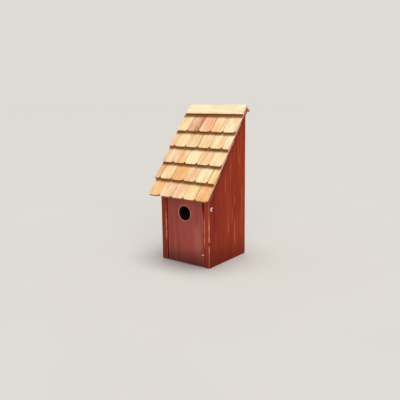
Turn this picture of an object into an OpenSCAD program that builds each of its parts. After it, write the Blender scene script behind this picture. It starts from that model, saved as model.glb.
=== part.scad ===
// Bluebird nest box: two side boards, a back board and a floor make the body, the front
// board is a door that swings on two screws near its top, and a steep roof deck carries
// staggered courses of small clipped shingles under a two-strip ridge cap.
// Frame: X to the right, Y to the back, Z up. The origin is the middle of the floor
// board's underside, which is where the box stands. Millimetres.

/* [Body] */
// Width across the two side boards
body_w = 157; // [125:1:200]
// Depth from the front edges to the rear edges of the side boards
body_d = 166; // [135:1:210]
// Height of the side boards at their front edges
front_h = 186; // [160:1:240]
// Thickness of each side board
side_t = 17.5; // [13:0.5:21]
// Thickness of the back board
back_t = 17.5; // [13:0.5:21]
// Thickness of the floor board
floor_t = 18; // [14:0.5:22]
// Clearance of the floor and back boards between the side boards, on each side
joint_gap = 0.1; // [0.05:0.05:0.5]

/* [Door] */
// Thickness of the door board
door_t = 18; // [16:0.5:22]
// Open gap between the door's left edge and the left side board
door_gap_left = 3.7; // [1:0.1:5]
// Gap between the door's right edge and the right side board
door_gap_right = 0.6; // [0.4:0.1:3]
// Gap under the door's bottom edge
door_gap_bottom = 1.5; // [1:0.25:5]
// Vent gap between the door's top edge and the roof deck, at the front face
door_gap_top = 6; // [3:0.5:15]
// Gap between the door's inner face and the floor's front edge
door_stop_gap = 0.5; // [0.2:0.1:2]
// How much the door's right edge is cut back beside the pivot screw
relief_depth = 3.8; // [1:0.1:5]
// How far below the pivot screw that cut starts
relief_below = 12; // [6:0.5:20]
// Height of the sloping end of that cut
relief_run = 3; // [2:0.5:10]
// Diameter of the round entrance hole
entrance_d = 38.1; // [28:0.1:45]
// Height of the middle of the entrance hole
entrance_z = 135; // [100:1:145]
// Number of saw kerfs inside the door, for the young birds' feet
kerf_count = 5; // [2:1:7]
// Distance from one kerf to the next
kerf_pitch = 9; // [6:0.5:12]
// Height of each kerf
kerf_h = 2; // [1:0.25:3]
// Depth of each kerf
kerf_depth = 1.5; // [0.5:0.25:3]
// Length of each kerf
kerf_len = 64; // [30:1:80]
// Height of the lowest kerf
kerf_z = 60; // [40:1:70]

/* [Door screws] */
// Diameter of the pivot screws' shanks
pivot_d = 4.2; // [3.5:0.1:5]
// Length of the pivot screws under the head
pivot_len = 34; // [30:1:45]
// Height of the pivot screws
pivot_z = 153; // [145:1:160]
// Distance of the pivot screws behind the front face
pivot_in = 10; // [8:0.5:13]
// Radial running clearance of a pivot screw in its side board
pivot_fit = 0.08; // [0.02:0.01:0.1]
// Gap between a pivot screw's head and the side board
head_gap = 0.2; // [0.1:0.05:0.5]
// Diameter of the corner screw's shank
corner_screw_d = 3.5; // [3:0.1:4]
// Length of the corner screw under the head
corner_screw_len = 15; // [12:1:15]
// Height of the corner screw
corner_screw_z = 37; // [25:1:60]
// Distance of the corner screw's axis from the door's right edge
corner_screw_in = 2.8; // [2.5:0.1:6]
// Diameter of the domed heads
head_d = 10.8; // [8:0.1:12]
// Height of the domed heads
head_h = 4; // [2:0.1:5]
// Height of the straight rim of the domed heads
head_rim = 1.2; // [0.6:0.1:1.5]
// Span of the cross recess in the domed heads
recess_span = 5.6; // [4:0.1:6]
// Width of each arm of the cross recess
recess_w = 1.8; // [0.8:0.1:2]
// Depth of the cross recess
recess_depth = 2.4; // [1:0.1:3]
// Diameter of the screws' blunt points
point_d = 1; // [0.5:0.1:1.5]

/* [Roof] */
// Slope of the roof, above the horizontal
roof_angle = 52; // [45:0.5:56]
// How far the lowest shingles stand out in front of the body
eave_out = 32; // [20:1:45]
// How far the shingles stand out past the left side board
side_out_left = 21.75; // [10:0.25:30]
// How far the shingles stand out past the right side board
side_out_right = 14.5; // [10:0.25:30]
// Thickness of the roof deck
deck_t = 9; // [6:0.5:12]
// How far the deck's side edges stay inside the shingles' ends
deck_inset = 4; // [0:0.5:8]
// How far the deck's front edge stays behind the lowest shingles, along the slope
deck_back = 9; // [4:0.5:20]
// Width of the wedge lath under the lowest shingles
starter_w = 22; // [12:1:35]

/* [Shingles] */
// Number of shingles across the roof
columns = 5; // [4:1:6]
// Length of a shingle
shingle_len = 85; // [80:1:100]
// Thickness of a shingle at its lower end
shingle_t = 6.2; // [4:0.1:8]
// Thickness of a whole shingle at its upper end
shingle_end_t = 2; // [1:0.25:3]
// Exposed length of each course
exposure = 50; // [42:1:58]
// Side-to-side gap between neighbouring shingles
shingle_gap = 0.4; // [0.2:0.1:2]
// Size of the clipped lower corners
clip = 5; // [0:0.25:8]
// Width of the part shingle that starts every second course
stagger = 18; // [12:0.5:24]
// How far the lowest course's left end and joints lie to the right of the others'
first_right = 3; // [0:0.5:6]
// Clearance between wooden layers that lie on each other
lay_gap = 0.05; // [0.02:0.01:0.2]

/* [Ridge cap] */
// Width of the front cap strip, along the slope
cap_w = 30.5; // [26:0.5:40]
// Thickness of both cap strips
cap_t = 6; // [3:0.5:7]
// How far the rear cap strip hangs below the deck's underside
cap_drop = 4; // [1:0.5:8]
// How far the cap strips stop short of the shingles at the left end
cap_short = 5.5; // [0:0.5:8]
// How far the front cap strip's left end runs out of square
cap_skew = 6; // [0:0.5:10]

/* [Nails] */
// Diameter of the brads that hold the shingles and cap strips
brad_d = 1.4; // [1:0.1:2]
// Diameter of the nails that hold the boards
nail_d = 2; // [1.6:0.1:2.6]
// Diameter of the nails' heads
nail_head_d = 3.4; // [2.8:0.1:4]
// Height of the nails' heads
nail_head_h = 0.8; // [0.5:0.1:1.2]
// Length of the nails that hold the boards
nail_len = 35; // [30:1:40]
// Radial clearance around each nail, brad and fixed screw
nail_fit = 0.03; // [0.02:0.01:0.1]
// How far a shingle's brad sits above the lower edge of the course that covers it
brad_in = 12; // [6:1:20]
// How far the brads end above the deck's underside
brad_short = 1.5; // [1:0.25:3]
// Number of nails through each side board into the back board
back_nails = 5; // [3:1:7]
// Number of nails through each side board into the floor
floor_nails = 3; // [2:1:4]
// Number of nails through the deck into each side board
deck_nails = 4; // [3:1:6]
// Distance of the first and last nail of a row from the ends of the row
nail_edge = 28; // [15:1:40]
// Distance of the back board's top nails below the roof deck, at the board's inner face
back_nail_top = 56; // [30:1:80]
// Distance of the lowest deck nails from the deck's front edge
deck_nail_front = 42; // [30:1:60]
// Least distance of a shingle's brad from the deck's side edges
brad_edge = 6; // [5:1:10]
// Distance of the front cap strip's brads below the rear cap strip
cap_brad_in = 9; // [6:0.5:15]
// Length of the brads that hold the rear cap strip
cap_brad_len = 15; // [10:1:20]

/* [Holes] */
// Diameter of the floor's four drain holes
drain_d = 8; // [5:0.5:10]
// Distance of the drain holes from the floor's edges
drain_in = 16; // [12:1:25]
// Diameter of the two post holes in the back board
post_hole_d = 6.5; // [4:0.5:8]
// Height of the lower post hole
post_hole_z = 60; // [40:1:80]
// Distance between the two post holes
post_hole_pitch = 90; // [60:1:95]

/* [Hidden] */
$fn = 48;
// How far a cut runs past the faces it opens
EPS = 1;
// More than the whole box measures
BIG = 600;

stain_side = "#8b3420";
stain_door = "#9b4c48";
stain_edge = "#953d27";
wood_shingle = ["#f2d9a2", "#efcf9b", "#f0b880", "#eed8a0", "#f6e3b4", "#e9b98c"];
wood_cap = "#f6e2b6";
zinc = "#c9c9c6";

// Body
front_y = -body_d / 2;
rear_y = body_d / 2;
inner_w = body_w - 2 * side_t;
board_w = inner_w - 2 * joint_gap;
back_y = rear_y - back_t;
floor_front_y = front_y + door_t + door_stop_gap;
floor_d = back_y - joint_gap - floor_front_y;

// Roof frame: u runs up the slope from the lowest shingles' top edge and v stands square
// to the slope. Every shingle tilts a little, because its butt lies on the one below.
// Its underside tilts less, because it's split thinner to its upper end.
shingle_tilt = asin((shingle_t + lay_gap) / exposure);
taper = (shingle_t - shingle_end_t) / shingle_len;
under_tilt = shingle_tilt - atan(taper);
deck_top = -(shingle_len * sin(shingle_tilt) + shingle_end_t * cos(shingle_tilt)) - lay_gap;
deck_under = deck_top - deck_t;
cap_end = deck_under - cap_drop;
eave_y = front_y - eave_out;
eave_z = front_h - eave_out * tan(roof_angle) - (deck_under - lay_gap) / cos(roof_angle);
ridge_u = (rear_y - eave_y + cap_end * sin(roof_angle)) / cos(roof_angle);
roof_left = -body_w / 2 - side_out_left;
roof_right = body_w / 2 + side_out_right;
roof_w = roof_right - roof_left;
roof_mid = (roof_left + roof_right) / 2;
deck_w = roof_w - 2 * deck_inset;
deck_end = ridge_u - cap_t - lay_gap;
cap_u = ridge_u - cap_w;
cap_left = roof_left + cap_short;

// Courses are counted from the eave, shingles from the left
courses = max(2, round(cap_u / exposure));
pitch = roof_w / columns;
top_exposure = cap_u - (courses - 1) * exposure;
cap_seat = lay_gap - top_exposure * tan(shingle_tilt);

function is_staggered(c) = c % 2 == 1;
function count_in(c) = columns + (is_staggered(c) ? 1 : 0);
function edge_x(c, i) = i == count_in(c) ? roof_right
    : roof_left + (c == 0 ? first_right : 0)
    + (!is_staggered(c) ? i * pitch : i == 0 ? 0 : stagger + (i - 1) * pitch);
function mid_x(c, i) = (edge_x(c, i) + edge_x(c, i + 1)) / 2;
function covered_at(c) = c == courses - 1 ? top_exposure : exposure;
function brad_at(c) = covered_at(c) + brad_in;
function brad_u(c) = c * exposure + brad_at(c) * cos(shingle_tilt);
function brad_x(c, i) = max(roof_mid - deck_w / 2 + brad_edge,
    min(roof_mid + deck_w / 2 - brad_edge, mid_x(c, i)));
function spread(from, to, n) = [for (i = [0 : n - 1]) from + (to - from) * i / (n - 1)];
function under_z(y) = front_h + (y - front_y) * tan(roof_angle);
function slope_y(u, v) = eave_y + u * cos(roof_angle) - v * sin(roof_angle);
function slope_z(u, v) = eave_z + u * sin(roof_angle) + v * cos(roof_angle);

// The side boards' upper rear corner is cut square to the slope, in line with the deck
corner_y = slope_y(deck_end, deck_under - lay_gap);
corner_z = slope_z(deck_end, deck_under - lay_gap);
rear_h = corner_z - (rear_y - corner_y) / tan(roof_angle);

// Door
door_left = -inner_w / 2 + door_gap_left;
door_right = inner_w / 2 - door_gap_right;
door_top = front_h - door_gap_top;
pivot_y = front_y + pivot_in;
relief_z = pivot_z - relief_below;
corner_screw_x = door_right - corner_screw_in;

// Nail rows
back_nail_z = spread(nail_edge, under_z(back_y) - back_nail_top, back_nails);
floor_nail_y = spread(floor_front_y + nail_edge, back_y - nail_edge, floor_nails);
deck_nail_u = spread(deck_back + deck_nail_front, deck_end - nail_edge, deck_nails);
cap_brad_x = spread(roof_left + pitch / 2, roof_right - pitch / 2, columns);
cap_rear_brad_x = spread(roof_left + pitch, roof_right - pitch, columns - 1);
starter_brad_x = spread(roof_left + nail_edge, roof_right - nail_edge, columns - 1);
cap_brad_u = ridge_u - cap_t - cap_brad_in;
cap_rear_brad_v = deck_top - deck_t / 2;
starter_brad_u = deck_back + starter_w / 2;

shingle_names = [for (c = [0 : courses - 1]) for (i = [0 : count_in(c) - 1])
    str("shingle_", c + 1, "_", i + 1)];

// ---------------------------------------------------------------- frames and helpers

// Children drawn in (x, u, v) land on the roof
module on_slope() {
    translate([0, eave_y, eave_z]) rotate([roof_angle, 0, 0]) children();
}

// An outline in (y, z), or in (u, v) on the slope, drawn out along X about the middle
module across(width, points) {
    rotate([90, 0, 90]) linear_extrude(width, center = true) polygon(points);
}

// A peg along +Z from its tip up to z = 0
module peg(d, len, grow = 0) {
    translate([0, 0, -len]) cylinder(h = len, d = d + 2 * grow);
}

// A nail along -Z with its flat head flush at z = 0
module nail(grow = 0) {
    peg(nail_d, nail_len, grow);
    peg(nail_head_d, nail_head_h, grow);
}

// A dome-head screw along -Z with the underside of its head at z = 0
module dome_screw(d, len) {
    dome_rise = head_h - head_rim;
    dome_r = (pow(head_d / 2, 2) + pow(dome_rise, 2)) / (2 * dome_rise);
    difference() {
        union() {
            peg(d, len - d);
            translate([0, 0, -len]) cylinder(h = d, d1 = point_d, d2 = d);
            intersection() {
                cylinder(h = head_h, d = head_d);
                translate([0, 0, head_h - dome_r]) sphere(r = dome_r);
            }
        }
        for (turn = [0, 90]) rotate([0, 0, turn])
            translate([-recess_span / 2, -recess_w / 2, head_h - recess_depth])
                cube([recess_span, recess_w, recess_depth + EPS]);
    }
}

// Puts a fastener drawn along -Z into a side board, pointing inwards
module into_side(side, y, z) {
    translate([side * body_w / 2, y, z]) rotate([0, side * 90, 0]) children();
}

// ---------------------------------------------------------------- fastener places

module side_nail_row(side, grow = 0) {
    for (z = back_nail_z) into_side(side, back_y + back_t / 2, z) nail(grow);
    for (y = floor_nail_y) into_side(side, y, floor_t / 2) nail(grow);
}

module deck_nail_rows(grow = 0) {
    on_slope() for (side = [-1, 1]) for (u = deck_nail_u)
        translate([side * (body_w - side_t) / 2, u, deck_top]) nail(grow);
}

// The brad of one shingle, from just under the shingle's top down into the deck
module shingle_brad(c, i, grow = 0) {
    head_v = -brad_at(c) * sin(shingle_tilt) - 2 * lay_gap;
    on_slope() translate([brad_x(c, i), brad_u(c), head_v])
        peg(brad_d, head_v - deck_under - brad_short, grow);
}

module all_shingle_brads(grow = 0) {
    for (c = [0 : courses - 1]) for (i = [0 : count_in(c) - 1]) shingle_brad(c, i, grow);
}

module cap_front_brads(grow = 0) {
    on_slope() for (x = cap_brad_x)
        translate([x, cap_brad_u, cap_seat + cap_t])
            peg(brad_d, cap_seat + cap_t - deck_under - brad_short, grow);
}

module cap_rear_brads(grow = 0) {
    on_slope() for (x = cap_rear_brad_x)
        translate([x, ridge_u, cap_rear_brad_v]) rotate([-90, 0, 0])
            peg(brad_d, cap_brad_len, grow);
}

module starter_brad_row(grow = 0) {
    on_slope() for (x = starter_brad_x)
        translate([x, starter_brad_u, starter_top(starter_brad_u) - nail_fit])
            peg(brad_d, starter_top(starter_brad_u) - deck_under - brad_short, grow);
}

// ---------------------------------------------------------------- body boards

body_outline = [[front_y, 0], [rear_y, 0], [rear_y, rear_h], [corner_y, corner_z],
                [front_y, front_h]];

module side_board(side) {
    difference() {
        translate([side * (body_w - side_t) / 2, 0, 0]) across(side_t, body_outline);
        side_nail_row(side, nail_fit);
        deck_nail_rows(nail_fit);
        into_side(side, pivot_y, pivot_z)
            translate([0, 0, EPS]) peg(pivot_d, side_t + 2 * EPS, pivot_fit);
    }
}

module left_side() {
    color(stain_side) side_board(-1);
}

module right_side() {
    color(stain_side) side_board(1);
}

module back_board() {
    color(stain_side) difference() {
        intersection() {
            across(board_w, body_outline);
            translate([-BIG / 2, back_y, -EPS]) cube([BIG, back_t, BIG]);
        }
        for (z = [post_hole_z, post_hole_z + post_hole_pitch])
            translate([0, rear_y + EPS, z]) rotate([-90, 0, 0])
                peg(post_hole_d, back_t + 2 * EPS);
        for (side = [-1, 1]) side_nail_row(side, nail_fit);
    }
}

module floor_board() {
    color(stain_side) difference() {
        translate([-board_w / 2, floor_front_y, 0]) cube([board_w, floor_d, floor_t]);
        for (x = [-1, 1]) for (y = [floor_front_y + drain_in, back_y - drain_in])
            translate([x * (board_w / 2 - drain_in), y, floor_t + EPS])
                peg(drain_d, floor_t + 2 * EPS);
        for (side = [-1, 1]) side_nail_row(side, nail_fit);
    }
}

// ---------------------------------------------------------------- roof

// Just under the lowest course
function starter_top(u) = -shingle_t * cos(shingle_tilt)
    - (u + shingle_t * sin(shingle_tilt)) * tan(under_tilt) - lay_gap;

module roof_deck() {
    color(stain_edge) difference() {
        on_slope() translate([roof_mid, 0, 0])
            across(deck_w, [[deck_back, deck_under], [deck_end, deck_under],
                            [deck_end, deck_top], [deck_back, deck_top]]);
        deck_nail_rows(nail_fit);
        all_shingle_brads(nail_fit);
        cap_front_brads(nail_fit);
        cap_rear_brads(nail_fit);
        starter_brad_row(nail_fit);
    }
}

module starter_lath() {
    upper = deck_back + starter_w;
    color(wood_shingle[1]) difference() {
        on_slope() translate([roof_mid, 0, 0])
            across(deck_w, [[deck_back, deck_top], [upper, deck_top],
                            [upper, starter_top(upper)],
                            [deck_back, starter_top(deck_back)]]);
        starter_brad_row(nail_fit);
    }
}

// Underside of a shingle in its own tilted frame
function shingle_under(u) = u * taper - shingle_t;

// One shingle: its lower corners are clipped, except where a part shingle ends a course
module shingle(c, i) {
    left = edge_x(c, i) + (i == 0 ? 0 : shingle_gap / 2);
    right = edge_x(c, i + 1) - (i == count_in(c) - 1 ? 0 : shingle_gap / 2);
    clip_left = is_staggered(c) && i == 0 ? 0 : clip;
    clip_right = is_staggered(c) && i == columns ? 0 : clip;
    room = (deck_end - c * exposure) / cos(shingle_tilt) - lay_gap;
    long = min(shingle_len, room);
    color(wood_shingle[(3 * c + 2 * i) % len(wood_shingle)]) difference() {
        on_slope() translate([0, c * exposure, 0]) rotate([-shingle_tilt, 0, 0])
            intersection() {
                across(BIG, [[-EPS, 0], [-EPS, shingle_under(-EPS)],
                             [long + EPS, shingle_under(long + EPS)], [long + EPS, 0]]);
                translate([0, 0, -BIG / 2]) linear_extrude(BIG)
                    polygon([[left, clip_left], [left + clip_left, 0],
                             [right - clip_right, 0], [right, clip_right],
                             [right, long], [left, long]]);
            }
        shingle_brad(c, i, nail_fit);
        if (c == courses - 1) cap_front_brads(nail_fit);
    }
}

// The front strip lies over the top course and over the rear strip's upper edge
module cap_front() {
    color(wood_cap) difference() {
        on_slope() translate([0, 0, cap_seat]) linear_extrude(cap_t)
            polygon([[cap_left, cap_u], [roof_right, cap_u], [roof_right, ridge_u],
                     [cap_left + cap_skew, ridge_u]]);
        cap_front_brads(nail_fit);
    }
}

module cap_rear() {
    upper = cap_seat - lay_gap;
    color(wood_cap) difference() {
        on_slope() translate([(cap_left + roof_right) / 2, 0, 0])
            across(roof_right - cap_left, [[ridge_u - cap_t, cap_end], [ridge_u, cap_end],
                                           [ridge_u, upper], [ridge_u - cap_t, upper]]);
        cap_rear_brads(nail_fit);
    }
}

// ---------------------------------------------------------------- door

module door_panel() {
    color(stain_door) difference() {
        translate([0, front_y + door_t, 0]) rotate([90, 0, 0]) linear_extrude(door_t)
            polygon([[door_left, door_gap_bottom], [door_right, door_gap_bottom],
                     [door_right, relief_z], [door_right - relief_depth, relief_z + relief_run],
                     [door_right - relief_depth, door_top], [door_left, door_top]]);
        translate([0, front_y - EPS, entrance_z]) rotate([-90, 0, 0])
            cylinder(h = door_t + 2 * EPS, d = entrance_d);
        for (k = [0 : kerf_count - 1])
            translate([-kerf_len / 2, front_y + door_t - kerf_depth, kerf_z + k * kerf_pitch])
                cube([kerf_len, kerf_depth + EPS, kerf_h]);
        for (side = [-1, 1]) into_side(side, pivot_y, pivot_z)
            translate([0, 0, head_gap]) peg(pivot_d, pivot_len + nail_fit, nail_fit);
        translate([corner_screw_x, front_y - EPS, corner_screw_z]) rotate([90, 0, 0])
            peg(corner_screw_d, corner_screw_len + EPS + nail_fit, nail_fit);
    }
}

module pivot_screw(side) {
    color(zinc) into_side(side, pivot_y, pivot_z)
        translate([0, 0, head_gap]) dome_screw(pivot_d, pivot_len);
}

module corner_screw() {
    color(zinc) translate([corner_screw_x, front_y - head_gap, corner_screw_z])
        rotate([90, 0, 0]) dome_screw(corner_screw_d, corner_screw_len);
}

// ---------------------------------------------------------------- drawing

left_side();
right_side();
back_board();
floor_board();
roof_deck();
starter_lath();
for (c = [0 : courses - 1]) for (i = [0 : count_in(c) - 1])
    shingle(c, i);
cap_front();
cap_rear();
door_panel();
pivot_screw(-1);  // pivot_screw_left
pivot_screw(1);  // pivot_screw_right
corner_screw();
color(zinc) side_nail_row(-1);  // side_nails_left
color(zinc) side_nail_row(1);  // side_nails_right
color(zinc) deck_nail_rows();  // deck_nails
color(zinc) all_shingle_brads();  // shingle_brads
color(zinc) { cap_front_brads(); cap_rear_brads(); }  // cap_brads
color(zinc) starter_brad_row();  // starter_brads
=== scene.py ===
"""Looks of the bluebird nest box: weathered meshes, wood and metal finishes, lights and camera."""

import math
import random

import bmesh
import bpy
from mathutils import Matrix, Vector, noise


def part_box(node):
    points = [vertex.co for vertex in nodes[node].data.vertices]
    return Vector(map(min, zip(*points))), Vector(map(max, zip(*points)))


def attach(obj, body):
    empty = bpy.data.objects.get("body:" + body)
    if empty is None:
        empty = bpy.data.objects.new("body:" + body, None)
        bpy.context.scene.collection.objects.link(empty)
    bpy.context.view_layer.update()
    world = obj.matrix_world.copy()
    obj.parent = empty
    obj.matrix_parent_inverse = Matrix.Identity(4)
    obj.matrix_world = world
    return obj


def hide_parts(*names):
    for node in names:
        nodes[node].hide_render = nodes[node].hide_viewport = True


MM = 0.001
X_AXIS = Vector((1, 0, 0))
Y_AXIS = Vector((0, 1, 0))
Z_AXIS = Vector((0, 0, 1))

# Slope of the roof and of the shingles, which lie a little flatter
ROOF_SLOPE = math.radians(52)
SHINGLE_SLOPE = math.radians(44.8)

# How the meshes are made
WELD = 1e-6
FLAT_ANGLE = math.radians(1)
SHARP_ANGLE = math.radians(25)
SMOOTH_ANGLE = math.radians(38)
LONG_EDGE = 2.2 * MM

# Camera, fitted to the outline of the object
CAMERA_PLACE = Vector((0.80443, -1.06515, 0.43115))
CAMERA_RIGHT = Vector((0.79477, 0.60680, -0.01182))
CAMERA_UP = Vector((-0.11351, 0.16775, 0.97927))
CAMERA_LENS = 45.61
SENSOR_WIDTH = 36.0

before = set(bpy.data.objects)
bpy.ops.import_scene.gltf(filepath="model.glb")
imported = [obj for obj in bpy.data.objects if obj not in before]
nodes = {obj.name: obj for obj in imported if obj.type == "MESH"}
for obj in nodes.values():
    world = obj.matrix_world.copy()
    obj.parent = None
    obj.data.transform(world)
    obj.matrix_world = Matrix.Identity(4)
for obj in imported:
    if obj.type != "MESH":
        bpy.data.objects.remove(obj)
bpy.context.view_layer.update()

# Places on the object that its finishes and dents are tied to
side_low, side_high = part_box("right_side")
SIDE_INNER, SIDE_OUTER = side_low.x, side_high.x
FRONT, REAR = side_low.y, side_high.y
FRONT_TOP = 186 * MM
DOOR_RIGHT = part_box("door_panel")[1].x
ENTRANCE_HEIGHT = 135 * MM
ENTRANCE_RADIUS = 19.05 * MM
NICK_HEIGHT = 64 * MM
CUT_BACK_HEIGHT = 142 * MM
KERFS_HALF = 34 * MM
KERFS_TOP = 100 * MM


# ---------------------------------------------------------------- meshes


def solid_from(node):
    """A bmesh of a CAD node with its flat faces merged."""
    bm = bmesh.new()
    bm.from_mesh(nodes[node].data)
    bmesh.ops.remove_doubles(bm, verts=bm.verts, dist=WELD)
    bmesh.ops.dissolve_limit(bm, angle_limit=FLAT_ANGLE, verts=bm.verts, edges=bm.edges)
    bm.faces.layers.float.new("arris")
    return bm


def round_arrises(bm, width, wanted=None):
    """Rounds the long sharp edges and marks the new faces as arris."""
    edges = []
    for e in bm.edges:
        if len(e.link_faces) != 2 or e.calc_length() < LONG_EDGE:
            continue
        if e.calc_face_angle() > SHARP_ANGLE and (wanted is None or wanted(e)):
            edges.append(e)
    made = bmesh.ops.bevel(
        bm, geom=edges, offset=width, segments=3, profile=0.55, affect="EDGES", clamp_overlap=True
    )
    layer = bm.faces.layers.float["arris"]
    for f in made["faces"]:
        f[layer] = 1.0


def slice_up(bm, axis, step):
    """Cuts the mesh by planes square to the axis, at least one step apart."""
    along = [v.co.dot(axis) for v in bm.verts]
    low, high = min(along), max(along)
    count = max(1, int((high - low) / step))
    for k in range(1, count):
        everything = bm.verts[:] + bm.edges[:] + bm.faces[:]
        at = low + (high - low) * k / count
        bmesh.ops.bisect_plane(
            bm, geom=everything, dist=WELD, plane_co=axis * at, plane_no=axis
        )


def sink(bm, depth_at):
    """Moves every vertex inwards by the depth that depth_at gives for its place and normal."""
    bm.normal_update()
    moves = [(v, v.co - v.normal * max(0.0, depth_at(v.co, v.normal))) for v in bm.verts]
    for v, co in moves:
        v.co = co


def piece_from(bm, name, node, body, material):
    """Makes the finished bmesh an object that stands for a CAD node."""
    mesh = bpy.data.meshes.new(name)
    bm.normal_update()
    bm.to_mesh(mesh)
    bm.free()
    mesh.shade_smooth()
    mesh.set_sharp_from_angle(angle=SMOOTH_ANGLE)
    mesh.materials.append(material)
    obj = bpy.data.objects.new(name, mesh)
    bpy.context.scene.collection.objects.link(obj)
    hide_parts(node)
    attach(obj, body)
    return obj


def paint(obj, name, colour_at):
    """Colours every vertex of a piece by its place, under a named attribute."""
    layer = obj.data.attributes.new(name, "FLOAT_COLOR", "POINT")
    for item, vertex in zip(layer.data, obj.data.vertices):
        item.color = colour_at(vertex.co)


def measure(obj, name, value_at):
    """Gives every vertex of a piece a number by its place, under a named attribute."""
    layer = obj.data.attributes.new(name, "FLOAT", "POINT")
    for item, vertex in zip(layer.data, obj.data.vertices):
        item.value = value_at(vertex.co)


def ripple(co, size, seed):
    """Smooth noise from 0 to 1 with features about one size apart."""
    return 0.5 + 0.5 * noise.noise(co / size + Vector((seed, seed * 0.7, seed * 1.3)))


def smooth(low, high, value):
    """Rises smoothly from 0 at low to 1 at high."""
    share = min(1.0, max(0.0, (value - low) / (high - low)))
    return share * share * (3 - 2 * share)


def bump_at(value, centre, spread):
    """A smooth bump of height 1 around centre."""
    return math.exp(-(((value - centre) / spread) ** 2))


# ---------------------------------------------------------------- shaders


def box_middle(node):
    """The middle of a CAD node's box."""
    lo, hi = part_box(node)
    return (lo + hi) / 2


def linear(code):
    """The linear colour of an sRGB code such as 'f2d9a2'."""
    out = []
    for k in (0, 2, 4):
        c = int(code[k : k + 2], 16) / 255
        out.append(c / 12.92 if c <= 0.04045 else ((c + 0.055) / 1.055) ** 2.4)
    return tuple(out) + (1.0,)


def dimmed(code, share):
    """An sRGB code's linear colour, times a share."""
    r, g, b, _ = linear(code)
    return (r * share, g * share, b * share, 1.0)


class Shader:
    """Builds one node material. Its methods return output sockets."""

    def __init__(self, name):
        self.material = bpy.data.materials.new(name)
        self.material.use_nodes = True
        self.tree = self.material.node_tree
        self.tree.nodes.clear()
        coords = self.node("ShaderNodeTexCoord")
        self.place = coords.outputs["Object"]
        self.x, self.y, self.z = self.split(self.place)
        self.nx, self.ny, self.nz = self.split(coords.outputs["Normal"])

    def node(self, kind, **settings):
        n = self.tree.nodes.new(kind)
        for key, value in settings.items():
            setattr(n, key, value)
        return n

    def put(self, socket, value):
        if isinstance(value, bpy.types.NodeSocket):
            self.tree.links.new(value, socket)
        else:
            socket.default_value = value

    def split(self, vector):
        n = self.node("ShaderNodeSeparateXYZ")
        self.put(n.inputs[0], vector)
        return n.outputs[0], n.outputs[1], n.outputs[2]

    def math(self, operation, a, b=0.0):
        n = self.node("ShaderNodeMath", operation=operation)
        self.put(n.inputs[0], a)
        self.put(n.inputs[1], b)
        return n.outputs[0]

    def add(self, a, b):
        return self.math("ADD", a, b)

    def mul(self, a, b):
        return self.math("MULTIPLY", a, b)

    def sub(self, a, b):
        return self.math("SUBTRACT", a, b)

    def size(self, a):
        return self.math("ABSOLUTE", a)

    def most(self, a, b):
        return self.math("MAXIMUM", a, b)

    def length(self, a, b):
        return self.math("SQRT", self.add(self.mul(a, a), self.mul(b, b)))

    def invert(self, a):
        return self.sub(1.0, a)

    def dot(self, a, share_a, b, share_b):
        return self.add(self.mul(a, share_a), self.mul(b, share_b))

    def step(self, value, low, high, to_low=0.0, to_high=1.0):
        """Smoothly maps value from low..high to to_low..to_high."""
        n = self.node("ShaderNodeMapRange", interpolation_type="SMOOTHSTEP")
        self.put(n.inputs[0], value)
        self.put(n.inputs[1], low)
        self.put(n.inputs[2], high)
        self.put(n.inputs[3], to_low)
        self.put(n.inputs[4], to_high)
        return n.outputs[0]

    def band(self, value, low, high, soft):
        """1 between low and high, fading to 0 over soft on both sides."""
        rise = self.step(value, low - soft, low + soft)
        fall = self.step(value, high - soft, high + soft, 1.0, 0.0)
        return self.mul(rise, fall)

    def noise(self, x, y, z, scale, detail=3.0, rough=0.55, warp=0.0):
        """Noise of the coordinates, with about scale features in one metre."""
        v = self.node("ShaderNodeCombineXYZ")
        self.put(v.inputs[0], x)
        self.put(v.inputs[1], y)
        self.put(v.inputs[2], z)
        n = self.node("ShaderNodeTexNoise")
        self.put(n.inputs["Vector"], v.outputs[0])
        n.inputs["Scale"].default_value = scale
        n.inputs["Detail"].default_value = detail
        n.inputs["Roughness"].default_value = rough
        n.inputs["Distortion"].default_value = warp
        return n.outputs["Fac"]

    def mix(self, share, a, b):
        n = self.node("ShaderNodeMix", data_type="RGBA", blend_type="MIX")
        self.put(n.inputs[0], share)
        self.put(n.inputs[6], a)
        self.put(n.inputs[7], b)
        return n.outputs[2]

    def attribute(self, name):
        return self.node("ShaderNodeAttribute", attribute_name=name)

    def finish(self, colour, roughness, height, depth, metallic=0.0, shine=0.5):
        bump = self.node("ShaderNodeBump")
        bump.inputs["Strength"].default_value = 1.0
        bump.inputs["Distance"].default_value = depth
        self.put(bump.inputs["Height"], height)
        surface = self.node("ShaderNodeBsdfPrincipled")
        self.put(surface.inputs["Base Color"], colour)
        self.put(surface.inputs["Roughness"], roughness)
        self.put(surface.inputs["Metallic"], metallic)
        self.put(surface.inputs["Specular IOR Level"], shine)
        self.put(surface.inputs["Normal"], bump.outputs[0])
        out = self.node("ShaderNodeOutputMaterial")
        self.put(out.inputs[0], surface.outputs[0])
        return self.material


# Share that dims every colour of the bare wood
BARE = 0.80

# How far above a shingle's butt the band of painted shade and soiling under the next course starts,
# and is full
DIRT_AND_SHADE_START, DIRT_AND_SHADE_FULL = 40.5 * MM, 47.5 * MM


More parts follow.
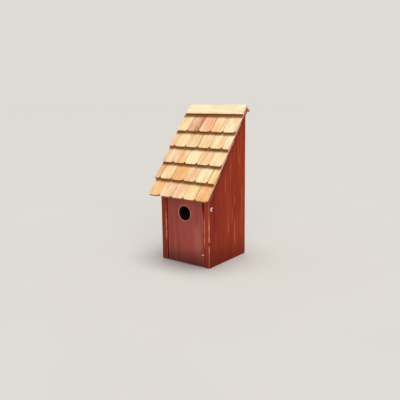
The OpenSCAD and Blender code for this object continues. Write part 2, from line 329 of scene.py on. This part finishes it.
def bare_wood(name, slope, across_width, figure=1.0, knots=()):
    """Unfinished softwood. Its grain runs up the slope, or along X when across_width is true.

    Figure scales the strength of the grain. A knot is its X, its way up the slope and its radius.
    """
    s = Shader(name)
    tone = s.attribute("tone")
    shift = s.mul(tone.outputs["Alpha"], 3.7)
    up = s.dot(s.y, math.cos(slope), s.z, math.sin(slope))
    off = s.dot(s.y, -math.sin(slope), s.z, math.cos(slope))
    along, across = (s.x, up) if across_width else (up, s.x)
    a, c, o = s.add(along, shift), s.add(across, shift), off
    stretched = s.mul(a, 0.05)
    broad = s.noise(c, stretched, o, 120, 2.0, 0.5, 0.3)
    rings = s.noise(c, s.mul(a, 0.03), o, 420, 3.0, 0.6, 0.2)
    fibres = s.noise(c, s.mul(a, 0.02), o, 1500, 2.0, 0.5)
    patches = s.noise(c, s.mul(a, 0.4), o, 34, 2.0, 0.5)
    pores = s.noise(c, s.mul(a, 0.12), o, 2600, 1.0, 0.5)
    colour = tone.outputs["Color"]
    colour = s.mix(s.step(patches, 0.46, 0.64, 0.0, 0.45 * figure), colour, dimmed("f2a870", BARE))
    colour = s.mix(s.step(broad, 0.50, 0.66, 0.0, 0.42 * figure), colour, dimmed("dc955c", BARE))
    colour = s.mix(s.step(rings, 0.52, 0.66, 0.0, 0.40 * figure), colour, dimmed("b9763e", BARE))
    colour = s.mix(s.step(fibres, 0.55, 0.72, 0.0, 0.25), colour, dimmed("7a4a22", BARE))
    colour = s.mix(s.step(patches, 0.48, 0.30, 0.0, 0.35), colour, dimmed("fdeecb", BARE))
    for knot_x, knot_up, r in knots:
        away_up = s.mul(s.sub(up, knot_up), 0.6)
        away = s.length(s.sub(s.x, knot_x), away_up)
        away = s.add(away, s.mul(s.noise(s.x, up, off, 500, 2.0), 0.6 * r))
        ring = s.band(away, 0.9 * r, 1.25 * r, 0.2 * r)
        heart = s.step(away, 0.7 * r, 0.3 * r)
        worn = s.step(s.noise(s.x, up, off, 320, 2.0), 0.35, 0.60, 0.35, 0.90)
        colour = s.mix(s.mul(ring, worn), colour, dimmed("50200e", BARE))
        colour = s.mix(s.mul(heart, 0.5), colour, dimmed("8a4a2c", BARE))
    # Painted shade with some soiling darkens the band just below where the next course starts, and
    # painted shade darkens the side faces in the joints between neighbours
    rise = s.attribute("rise").outputs["Fac"]
    ragged = s.add(rise, s.mul(s.sub(broad, 0.5), 5 * MM))
    dirt_and_shade = s.step(ragged, DIRT_AND_SHADE_START, DIRT_AND_SHADE_FULL)
    lo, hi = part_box("roof_deck")
    off_middle = s.size(s.sub(s.x, (lo.x + hi.x) / 2))
    half_deck = (hi.x - lo.x) / 2
    inner = s.step(off_middle, half_deck, half_deck - 1 * MM)
    sideways = s.step(s.size(s.nx), 0.6, 0.9)
    # Painted shade on the side faces in the joints between neighbouring shingles
    joint_shade = s.mul(sideways, inner)
    dark = s.most(s.mul(dirt_and_shade, 0.80), s.mul(joint_shade, 0.60))
    colour = s.mix(dark, colour, dimmed("945000", BARE))
    # The roof's outer end faces are painted lighter, a painted highlight for light from the right
    outer = s.mul(sideways, s.invert(inner))
    colour = s.mix(s.mul(outer, 0.75), colour, dimmed("ffd2b0", BARE))
    # The down-facing lower ends are painted dark brown: painted shade on the butts, with some
    # darkening of the end grain
    down = s.dot(s.ny, -math.cos(slope), s.nz, -math.sin(slope))
    butt = s.step(down, 0.35, 0.80)
    end_lines = s.noise(s.x, s.y, s.z, 900, 2.0)
    butt_colour = s.mix(
        s.step(end_lines, 0.35, 0.65), dimmed("763e00", BARE), dimmed("b06810", BARE)
    )
    colour = s.mix(s.mul(butt, 0.92), colour, butt_colour)
    arris = s.attribute("arris").outputs["Fac"]
    colour = s.mix(s.mul(arris, 0.12), colour, dimmed("b8743a", BARE))
    height = s.add(s.mul(rings, 0.6), s.dot(fibres, 0.35, pores, 0.2))
    rough = s.step(fibres, 0.3, 0.7, 0.72, 0.9)
    return s.finish(colour, rough, height, 0.35 * MM, shine=0.2)


# Share that dims every colour of the stain
STAIN = 0.90

# Linear colour of the entrance's bore: near black, painted shade for the hole's dark inside
BORE_SHADE_COLOUR = (0.006, 0.004, 0.003, 1.0)

# Rubbed streaks on the side boards, where the stain is thin: Y, lower end, upper end, strength
RUBBED_STREAKS = (
    (0.032, 0.045, 0.105, 0.75),
    (0.031, 0.148, 0.168, 0.60),
    (0.002, 0.078, 0.100, 0.45),
    (0.020, 0.105, 0.135, 0.40),
    (0.066, 0.100, 0.190, 0.45),
    (0.052, 0.255, 0.280, 0.60),
    (-0.012, 0.180, 0.235, 0.35),
)


def stained(code):
    """An sRGB code's linear colour in the stain's strength."""
    return dimmed(code, STAIN)


def wood_grain(s):
    """Noises that run up the boards: wide bands, streaks, fine lines, fibres, clouds and chips."""
    x, y, z = s.x, s.y, s.z
    return {
        "wide": s.noise(x, y, s.mul(z, 0.09), 38, 2.0, 0.5, 0.4),
        "streaks": s.noise(x, y, s.mul(z, 0.035), 150, 3.0, 0.6, 0.15),
        "fine": s.noise(x, y, s.mul(z, 0.025), 700, 3.0, 0.6),
        "fibres": s.noise(x, y, s.mul(z, 0.02), 2200, 2.0, 0.5),
        "cloud": s.noise(x, y, s.mul(z, 0.6), 22, 3.0, 0.55, 0.3),
        "chips": s.noise(x, y, s.mul(z, 0.22), 380, 4.0, 0.65),
    }


def stain_finish(s, colour, grain, roughness, shine):
    """Leaves the inner faces bare, adds the relief of the grain, and ends the material."""
    # The rooms inside were never stained, and their bare wood is painted dark: painted shade for
    # the dark inside. They reach from the door to the back board.
    lo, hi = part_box("floor_board")
    wide = s.step(s.size(s.x), hi.x + 0.8 * MM, hi.x + 0.2 * MM)
    deep = s.step(s.y, lo.y - 1.6 * MM, lo.y - 0.8 * MM)
    behind = s.step(s.y, hi.y + 1.0 * MM, hi.y + 0.4 * MM)
    above = s.step(s.z, hi.z - 1.5 * MM, hi.z - 0.5 * MM)
    inside = s.mul(s.mul(wide, deep), s.mul(behind, above))
    bare = s.mix(grain["streaks"], dimmed("6e4a2a", BARE), dimmed("8a6238", BARE))
    bare = s.mix(s.step(grain["fine"], 0.5, 0.7, 0.0, 0.4), bare, dimmed("4a2e18", BARE))
    colour = s.mix(inside, colour, bare)
    height = s.add(s.mul(grain["fine"], 0.5), s.dot(grain["fibres"], 0.3, grain["chips"], 0.2))
    rough = s.step(grain["fine"], 0.3, 0.7, roughness - 0.08, roughness + 0.08)
    return s.finish(colour, rough, height, 0.3 * MM, shine=shine)


def side_stain(name, shade_under_cover):
    """Thin red-brown stain: orange streaks to the rear, worn arrises, and painted shade that
    darkens the foot.

    The second argument is how dark the painted shade just under the roof is.
    """
    s = Shader(name)
    g = wood_grain(s)
    to_rear = s.step(s.y, -0.06, 0.07)
    colour = s.mix(s.step(g["wide"], 0.36, 0.62), stained("84281a"), stained("9c3420"))
    colour = s.mix(s.mul(to_rear, 0.55), colour, stained("b03c1e"))
    streak = s.mul(s.step(g["streaks"], 0.50, 0.68), s.step(s.y, -0.08, 0.08, 0.30, 0.75))
    colour = s.mix(streak, colour, stained("c4522a"))
    colour = s.mix(s.step(g["fine"], 0.50, 0.70, 0.0, 0.30), colour, stained("6a1c10"))
    colour = s.mix(s.step(g["cloud"], 0.45, 0.7, 0.0, 0.30), colour, stained("7a2419"))
    wander = s.add(s.y, s.mul(s.sub(g["cloud"], 0.5), 6 * MM))
    for y, low, high, strength in RUBBED_STREAKS:
        across = s.band(wander, y - 1.4 * MM, y + 1.4 * MM, 1.4 * MM)
        along = s.band(s.z, low, high, 12 * MM)
        pale_patch = s.mul(s.mul(across, along), s.step(g["fine"], 0.25, 0.6, 0.5, 1.0))
        colour = s.mix(s.mul(pale_patch, strength), colour, stained("dc8a68"))
    # The boards' front edge faces are lighter, more so on the right
    front_edge = s.mul(s.step(s.ny, -0.7, -0.95), s.step(s.y, FRONT + 3 * MM, FRONT + 1 * MM))
    lighter_front_edge = s.mul(front_edge, s.step(s.x, -0.02, 0.02, 0.15, 0.45))
    colour = s.mix(lighter_front_edge, colour, stained("b84a34"))
    # Painted shade: darker towards the foot
    foot = s.step(s.z, 0.0, 0.07, 0.50, 0.0)
    colour = s.mix(foot, colour, stained("541409"))
    # Painted shade just under the roof, and on the faces inside the gaps beside the door
    back = s.mul(s.sub(s.y, FRONT), math.sin(ROOF_SLOPE))
    rise = s.mul(s.sub(s.z, FRONT_TOP), math.cos(ROOF_SLOPE))
    below = s.sub(back, rise)
    colour = s.mix(s.step(below, 10 * MM, 0.0, 0.0, shade_under_cover), colour, stained("4a1409"))
    facing_gap = s.step(s.size(s.nx), 0.75, 0.95)
    beside_gap = s.step(s.size(s.x), SIDE_INNER + 3 * MM, SIDE_INNER + 1.5 * MM)
    colour = s.mix(s.mul(s.mul(facing_gap, beside_gap), 0.85), colour, stained("300a04"))
    # Worn arrises: the right board's outer and inner one, the left board's inner one, the rear
    outer_front = s.mul(
        s.step(s.x, SIDE_OUTER - 3.3 * MM, SIDE_OUTER - 1.7 * MM),
        s.step(s.y, FRONT + 3.8 * MM, FRONT + 1.2 * MM),
    )
    at_front = s.step(s.y, FRONT + 3 * MM, FRONT + 0.5 * MM)
    inner_front = s.mul(
        s.band(s.x, SIDE_INNER - 1 * MM, SIDE_INNER + 3.8 * MM, 1.2 * MM), at_front
    )
    left_front = s.mul(s.band(s.x, -SIDE_INNER - 4 * MM, -SIDE_INNER + 1 * MM, 1 * MM), at_front)
    rear = s.mul(s.step(s.y, REAR - 3.5 * MM, REAR - 1.5 * MM), s.step(s.z, 0.09, 0.16))
    middle = s.band(s.z, 0.040, 0.128, 0.02)
    worn = s.mul(outer_front, s.add(0.20, s.mul(middle, 0.80)))
    worn = s.most(worn, s.mul(inner_front, s.band(s.z, 0.060, 0.126, 0.012)))
    worn = s.most(worn, s.mul(left_front, s.mul(s.band(s.z, 0.058, 0.128, 0.012), 0.8)))
    worn = s.most(worn, s.mul(rear, 0.45))
    worn = s.most(worn, s.mul(s.attribute("arris").outputs["Fac"], 0.40))
    worn = s.mul(worn, s.step(g["chips"], 0.30, 0.50))
    nick = s.mul(
        s.band(s.z, NICK_HEIGHT - 4 * MM, NICK_HEIGHT + 4 * MM, 1.5 * MM), outer_front
    )
    worn = s.mul(worn, s.invert(nick))
    colour = s.mix(s.mul(worn, 0.92), colour, stained("e08a68"))
    colour = s.mix(s.mul(nick, 0.8), colour, stained("3c1008"))
    return stain_finish(s, colour, g, 0.72, 0.12)


def door_stain(name):
    """A rosier stain with a soft sheen and a painted sheen patch on the door, a bore painted near
    black as shade, and a pale rim.
    """
    s = Shader(name)
    g = wood_grain(s)
    colour = s.mix(s.step(g["wide"], 0.34, 0.66), stained("9a3d34"), stained("ac4a3e"))
    colour = s.mix(s.step(g["streaks"], 0.50, 0.72, 0.0, 0.35), colour, stained("bb5a4c"))
    colour = s.mix(s.step(g["fine"], 0.50, 0.70, 0.0, 0.25), colour, stained("74261e"))
    colour = s.mix(s.step(g["cloud"], 0.50, 0.75, 0.0, 0.25), colour, stained("84302a"))
    # Painted sheen: a paler patch on the door's right half, low down
    pale_patch = s.mul(s.band(s.x, 0.026, 0.052, 0.012), s.band(s.z, 0.038, 0.105, 0.02))
    colour = s.mix(s.mul(pale_patch, 0.35), colour, stained("cc7c6c"))
    # Painted shade: darker towards the foot
    foot = s.step(s.z, 0.0, 0.055, 0.75, 0.0)
    # Painted shade on the door's side edge faces, inside the gaps beside it
    sideways = s.step(s.size(s.nx), 0.75, 0.95)
    gap_edge_shade = s.mul(sideways, s.step(s.size(s.x), 0.050, 0.054))
    colour = s.mix(s.mul(gap_edge_shade, 0.85), colour, stained("300a04"))
    colour = s.mix(foot, colour, stained("4c140d"))
    # The entrance: a rim where the saw broke the stain, and a bore painted near black, painted
    # shade for the hole's dark inside
    away = s.length(s.x, s.sub(s.z, ENTRANCE_HEIGHT))
    past_rim = s.sub(away, ENTRANCE_RADIUS)
    ragged = s.add(past_rim, s.mul(s.sub(g["chips"], 0.5), 1.2 * MM))
    at_face = s.step(s.y, FRONT + 1.5 * MM, FRONT + 0.2 * MM)
    rim = s.mul(s.band(ragged, 0.15 * MM, 1.95 * MM, 0.6 * MM), at_face)
    colour = s.mix(s.mul(rim, 0.70), colour, stained("d8a08c"))
    behind_face = s.step(s.y, FRONT + 0.2 * MM, FRONT + 1 * MM)
    bore = s.mul(s.step(past_rim, 0.4 * MM, 0.1 * MM), behind_face)
    colour = s.mix(bore, colour, BORE_SHADE_COLOUR)
    worn = s.mul(s.attribute("arris").outputs["Fac"], s.step(past_rim, 1.95 * MM, 3.95 * MM))
    worn = s.mul(worn, s.step(g["chips"], 0.40, 0.60, 0.0, 0.55))
    by_right_edge = s.step(s.x, DOOR_RIGHT - 4.4 * MM, DOOR_RIGHT - 1.9 * MM)
    right_edge = s.mul(by_right_edge, s.band(s.z, 0.075, 0.128, 0.012))
    right_edge = s.mul(right_edge, s.step(g["chips"], 0.42, 0.58))
    colour = s.mix(s.most(worn, s.mul(right_edge, 0.6)), colour, stained("cf7f5e"))
    return stain_finish(s, colour, g, 0.55, 0.32)


def plated_steel(name):
    """Dull zinc plate. Stain coats the corner screw's upper part and fills the screws' recesses,
    which are painted dark as shade.
    """
    s = Shader(name)
    scratches = s.noise(s.x, s.mul(s.y, 0.3), s.z, 3000, 3.0, 0.7)
    grime = s.noise(s.x, s.y, s.z, 500, 3.0, 0.6)
    colour = s.mix(s.step(grime, 0.4, 0.7), linear("fbd8cc"), linear("e4b2a4"))
    rough = s.step(scratches, 0.3, 0.7, 0.28, 0.5)
    pivot = box_middle("pivot_screw_right")
    off_pivot = s.length(s.sub(s.y, pivot.y), s.sub(s.z, pivot.z))
    # Painted shade: the pivot screw's stain-filled recess is coloured near black
    filled_shaded_recess = s.step(off_pivot, 3.4 * MM, 2.7 * MM)
    corner = box_middle("corner_screw")
    ragged = s.add(s.z, s.mul(s.sub(grime, 0.5), 1 * MM))
    on_corner = s.step(s.z, corner.z + 20 * MM, corner.z + 15 * MM)
    brushed = s.mul(on_corner, s.step(ragged, corner.z - 2.2 * MM, corner.z - 1.4 * MM))
    off_corner = s.length(s.sub(s.x, corner.x), s.sub(s.z, corner.z))
    # Painted shade: the corner screw's recess is darker than the stain over its head
    recess = s.mul(on_corner, s.step(off_corner, 3.2 * MM, 2.2 * MM))
    over_plate = s.mix(recess, stained("94403a"), stained("501408"))
    # Stain over the plate, with the painted shade in the recesses
    stain = s.most(filled_shaded_recess, brushed)
    colour = s.mix(stain, colour, s.mix(brushed, stained("3c120a"), over_plate))
    rough = s.most(rough, s.mul(stain, 0.7))
    # The bare rim of the corner screw is duller than the pivot screws' heads
    gloss = s.step(s.z, corner.z + 20 * MM, corner.z + 15 * MM, 0.45, 0.15)
    metallic = s.mul(s.invert(stain), gloss)
    return s.finish(colour, rough, scratches, 0.03 * MM, metallic=metallic)


# ---------------------------------------------------------------- shingles

# Colours of the shingles
TONES = {
    "pale": "fdf0c4",
    "cream": "fbe0ae",
    "buff": "f6d3a2",
    "yellow": "fbdda0",
    "tan": "f6cb92",
    "orange": "fbc486",
    "peach": "f3c098",
    "pink": "e6ac8a",
    "blush": "f8d8b2",
    "ivory": "fbe8ba",
    "brown": "e9bc8e",
}

CAP_TONE, LATH_TONE = "fff2ca", "e6bd85"

# The cap covers the uppermost course, so its band of painted shade and soiling starts this much
# higher
CAP_BAND_SHIFT = 5 * MM
COURSE_UNDER_CAP = "shingle_5"

# One shingle has heartwood along its right edge, and a knot
DARK_EDGE = "a8663e"
DARK_EDGED = "shingle_5_2"
KNOT = (-34 * MM, 251.9 * MM, 4.2 * MM)

# From the eave up, each course from the left
COURSES = [
    ["tan", "blush", "blush", "yellow", "orange"],
    ["brown", "cream", "orange", "cream", "ivory", "yellow"],
    ["blush", "cream", "ivory", "buff", "cream"],
    ["peach", "cream", "cream", "cream", "ivory", "pale"],
    ["cream", "pink", "peach", "cream", "pale"],
]

shingle_wood = bare_wood("shingle_wood", SHINGLE_SLOPE, False, knots=[KNOT])
cap_wood = bare_wood("cap_wood", ROOF_SLOPE, True, figure=0.5)


def slope_axes(slope):
    """The directions up a slope and square off it."""
    up = Vector((0, math.cos(slope), math.sin(slope)))
    off = Vector((0, -math.sin(slope), math.cos(slope)))
    return up, off


def weathered_strip(node, material, tone, seed, slope, arris, steps, butt_wave):
    """A thin strip of bare wood: raised grain on top, uneven lower edge and sides.

    Steps are the distances between cuts along X and up the slope.
    """
    rng = random.Random(seed)
    up, off = slope_axes(slope)
    bm = solid_from(node)
    round_arrises(bm, arris)
    slice_up(bm, X_AXIS, steps[0])
    slice_up(bm, up, steps[1])
    offset = rng.uniform(0, 50)
    short = rng.uniform(0.0, 0.8) * MM
    skew = rng.uniform(-1.0, 1.0)
    loose = (0.1 + 1.1 * rng.random() ** 2) * MM
    low = rng.uniform(0.0, 0.25) * MM
    lo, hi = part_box(node)
    middle, half = (lo.x + hi.x) / 2, (hi.x - lo.x) / 2
    foot = min(v.co.dot(up) for v in bm.verts)

    def depth(co, normal):
        u = co.dot(up)
        side = (co.x - middle) / half
        top = max(0.0, normal.dot(off))
        down = max(0.0, -normal.dot(up))
        out = abs(normal.x)
        grain = ripple(Vector((co.x, u * 0.06, 0)), 2.6 * MM, offset)
        cup = ripple(Vector((co.x, u * 0.3, 0)), 22 * MM, offset)
        wave = ripple(Vector((co.x, 0, 0)), 7 * MM, offset + 9)
        edge = ripple(Vector((0, u, 0)), 18 * MM, offset + side)
        d = top * (0.28 * MM * grain + 0.25 * MM * cup + low)
        d += down * (butt_wave * wave + short * (0.6 + 0.4 * skew * side))
        d += out * loose * edge
        if u < foot + 2.5 * MM:
            d += top * 0.3 * MM * wave
        return d

    sink(bm, depth)
    obj = piece_from(bm, "wood_" + node, node, "house", material)
    shade = rng.uniform(0.96, 1.03) * BARE
    plain, edge = Vector(dimmed(tone, shade)), Vector(dimmed(DARK_EDGE, shade))
    shift = rng.random()

    def tone_at(co):
        side = (co.x - middle) / half
        share = 0.75 * smooth(0.30, 0.90, side) if node == DARK_EDGED else 0.0
        r, g, b, _ = plain.lerp(edge, share)
        return (r, g, b, shift)

    paint(obj, "tone", tone_at)
    if slope == SHINGLE_SLOPE:
        shade_under_cover = CAP_BAND_SHIFT if node.startswith(COURSE_UNDER_CAP) else 0.0
        measure(obj, "rise", lambda co: co.dot(up) - foot - shade_under_cover)


for row, course in enumerate(COURSES):
    for column, tone_name in enumerate(course):
        weathered_strip(
            f"shingle_{row + 1}_{column + 1}",
            shingle_wood,
            TONES[tone_name],
            seed=100 * row + column,
            slope=SHINGLE_SLOPE,
            arris=0.6 * MM,
            steps=(1.3 * MM, 5 * MM),
            butt_wave=0.55 * MM,
        )

for seed, strip in enumerate(("cap_front", "cap_rear")):
    weathered_strip(
        strip,
        cap_wood,
        CAP_TONE,
        seed=900 + seed,
        slope=ROOF_SLOPE,
        arris=0.7 * MM,
        steps=(5 * MM, 1.5 * MM),
        butt_wave=0.4 * MM,
    )

weathered_strip(
    "starter_lath",
    shingle_wood,
    LATH_TONE,
    seed=950,
    slope=SHINGLE_SLOPE,
    arris=0.4 * MM,
    steps=(4 * MM, 5 * MM),
    butt_wave=0.3 * MM,
)


# ---------------------------------------------------------------- boards

stained_side = side_stain("stained_side", 0.60)
stained_door = door_stain("stained_door")
stained_deck = side_stain("stained_deck", 0.25)
zinc = plated_steel("zinc_steel")


def sawn_board(node, body, slot, material, seed, arris, steps):
    """A planed board: soft arrises that wander a little, and faces that aren't quite flat."""
    bm = solid_from(node)
    round_arrises(bm, arris * MM, ROUNDED.get(node))
    for axis, step in zip((X_AXIS, Y_AXIS, Z_AXIS), steps):
        slice_up(bm, axis, step * MM)
    layer = bm.faces.layers.float["arris"]
    on_arris = {v for f in bm.faces if f[layer] > 0.5 for v in f.verts}
    places = {tuple(v.co) for v in on_arris}
    dents = DENTS.get(node)

    def depth(co, normal):
        d = 0.16 * MM * ripple(co, 30 * MM, seed)
        if tuple(co) in places:
            d += 0.45 * MM * ripple(co, 14 * MM, seed + 5) ** 2
        if dents is not None:
            d += dents(co, normal)
        return d

    sink(bm, depth)
    piece_from(bm, "wood_" + node, node, body, material)


def right_side_dents(co, normal):
    """Two nicks in the front outer arris, and a wandering inner front arris."""
    near_front = co.y < FRONT + 3 * MM
    d = 0.0
    if near_front and co.x > SIDE_OUTER - 2 * MM:
        d += 1.3 * MM * bump_at(co.z, NICK_HEIGHT, 3.5 * MM)
        d += 0.5 * MM * bump_at(co.z, 118 * MM, 6 * MM)
    if near_front and co.x < SIDE_INNER + 2.5 * MM and normal.x < 0.2:
        d += 0.7 * MM * ripple(Vector((0, 0, co.z)), 24 * MM, 31)
    return d


def door_dents(co, normal):
    """The door's right edge wanders below its cut-back part."""
    d = 0.0
    if co.x > DOOR_RIGHT - 1.9 * MM and normal.x > 0.2 and co.z < CUT_BACK_HEIGHT:
        d += 0.8 * MM * ripple(Vector((0, 0, co.z)), 26 * MM, 17)
        d += 0.6 * MM * bump_at(co.z, 103 * MM, 12 * MM)
    return d


def outside_kerfs(edge):
    """Whether an edge of the door is away from the saw kerfs in its inner face."""
    middle = (edge.verts[0].co + edge.verts[1].co) / 2
    on_inner_face = middle.y > FRONT + 15 * MM
    return not (on_inner_face and abs(middle.x) < KERFS_HALF and middle.z < KERFS_TOP)


# Edges that are rounded, where that isn't every edge, and dents of single boards
ROUNDED = {"door_panel": outside_kerfs}
DENTS = {"right_side": right_side_dents, "door_panel": door_dents}

# Node, body, slot, material, seed, width of the arris and steps between cuts along X, Y and Z
BOARDS = (
    ("left_side", "house", "stained_side", stained_side, 3, 0.9, (6, 6, 6)),
    ("right_side", "house", "stained_side", stained_side, 4, 1.1, (6, 6, 3)),
    ("back_board", "house", "stained_side", stained_side, 5, 0.8, (8, 8, 8)),
    ("floor_board", "house", "stained_side", stained_side, 6, 0.8, (8, 8, 8)),
    ("roof_deck", "house", "stained_deck", stained_deck, 7, 0.6, (9, 9, 9)),
    ("door_panel", "door", "stained_door", stained_door, 8, 0.9, (5, 6, 4)),
)
for board in BOARDS:
    sawn_board(*board)


# ---------------------------------------------------------------- metal


def finish_node(node, material):
    """Gives a CAD node that stays its finish."""
    nodes[node].data.materials.clear()
    nodes[node].data.materials.append(material)


for node in ("pivot_screw_left", "pivot_screw_right", "corner_screw"):
    finish_node(node, zinc)
    soft = nodes[node].modifiers.new("soft_rims", "BEVEL")
    soft.width = 0.15 * MM
    soft.segments = 2
    soft.limit_method = "ANGLE"
    soft.angle_limit = math.radians(35)

# The heads of the side boards' nails are stained with the boards
for node in ("side_nails_left", "side_nails_right"):
    finish_node(node, stained_side)

for node in ("deck_nails", "shingle_brads", "cap_brads", "starter_brads"):
    finish_node(node, zinc)


# ---------------------------------------------------------------- stage, lights and camera

# Half the width of the floor, and the linear colours of floor, sky and backdrop
FLOOR_HALF = 40.0
FLOOR_DARK, FLOOR_LIGHT = (0.50, 0.49, 0.475, 1), (0.53, 0.52, 0.505, 1)
SKY_COLOUR, SKY_STRENGTH = (0.95, 0.96, 1.0, 1), 0.30
BACKDROP_COLOUR = (0.735, 0.705, 0.665, 1)

floor_mesh = bpy.data.meshes.new("floor")
floor_corners = [(-1, -1), (1, -1), (1, 1), (-1, 1)]
floor_places = [(x * FLOOR_HALF, y * FLOOR_HALF, 0) for x, y in floor_corners]
floor_mesh.from_pydata(floor_places, [], [(0, 1, 2, 3)])
floor = bpy.data.objects.new("floor", floor_mesh)
bpy.context.scene.collection.objects.link(floor)
paper = Shader("studio_paper")
paper_patches = paper.noise(paper.x, paper.y, paper.z, 3, 2.0)
paper_colour = paper.mix(paper_patches, FLOOR_DARK, FLOOR_LIGHT)
paper_grain = paper.noise(paper.x, paper.y, paper.z, 800)
floor_mesh.materials.append(paper.finish(paper_colour, 0.9, paper_grain, 0.02 * MM))

# The sky lights the box dimly. The camera sees a backdrop as pale as the floor instead.
world = bpy.data.worlds.new("soft_sky")
bpy.context.scene.world = world
world.use_nodes = True
sky_tree = world.node_tree
sky = sky_tree.nodes["Background"]
sky.inputs["Color"].default_value = SKY_COLOUR
sky.inputs["Strength"].default_value = SKY_STRENGTH
backdrop = sky_tree.nodes.new("ShaderNodeBackground")
backdrop.inputs["Color"].default_value = BACKDROP_COLOUR
seen = sky_tree.nodes.new("ShaderNodeLightPath")
either = sky_tree.nodes.new("ShaderNodeMixShader")
sky_tree.links.new(seen.outputs["Is Camera Ray"], either.inputs[0])
sky_tree.links.new(sky.outputs[0], either.inputs[1])
sky_tree.links.new(backdrop.outputs[0], either.inputs[2])
sky_tree.links.new(either.outputs[0], sky_tree.nodes["World Output"].inputs[0])


def soft_sun(name, towards, spread, strength, colour):
    """A wide sun that stands in the direction towards, as seen from the box."""
    data = bpy.data.lights.new(name, "SUN")
    data.angle = math.radians(spread)
    data.energy = strength
    data.color = colour
    light = bpy.data.objects.new(name, data)
    light.rotation_euler = Vector(towards).to_track_quat("Z", "Y").to_euler()
    bpy.context.scene.collection.objects.link(light)


soft_sun("overhead", (0.04, 0.05, 1.0), 40, 3.0, (1.0, 0.97, 0.92))
soft_sun("front", (0.75, -0.80, 0.45), 60, 1.55, (1.0, 0.96, 0.92))

camera_data = bpy.data.cameras.new("camera")
camera_data.lens = CAMERA_LENS
camera_data.sensor_width = SENSOR_WIDTH
camera = bpy.data.objects.new("camera", camera_data)
back = CAMERA_RIGHT.cross(CAMERA_UP)
turn = Matrix((CAMERA_RIGHT, CAMERA_UP, back)).transposed().to_4x4()
camera.matrix_world = Matrix.Translation(CAMERA_PLACE) @ turn
bpy.context.scene.collection.objects.link(camera)
bpy.context.scene.camera = camera
bpy.context.scene.view_settings.view_transform = "Standard"
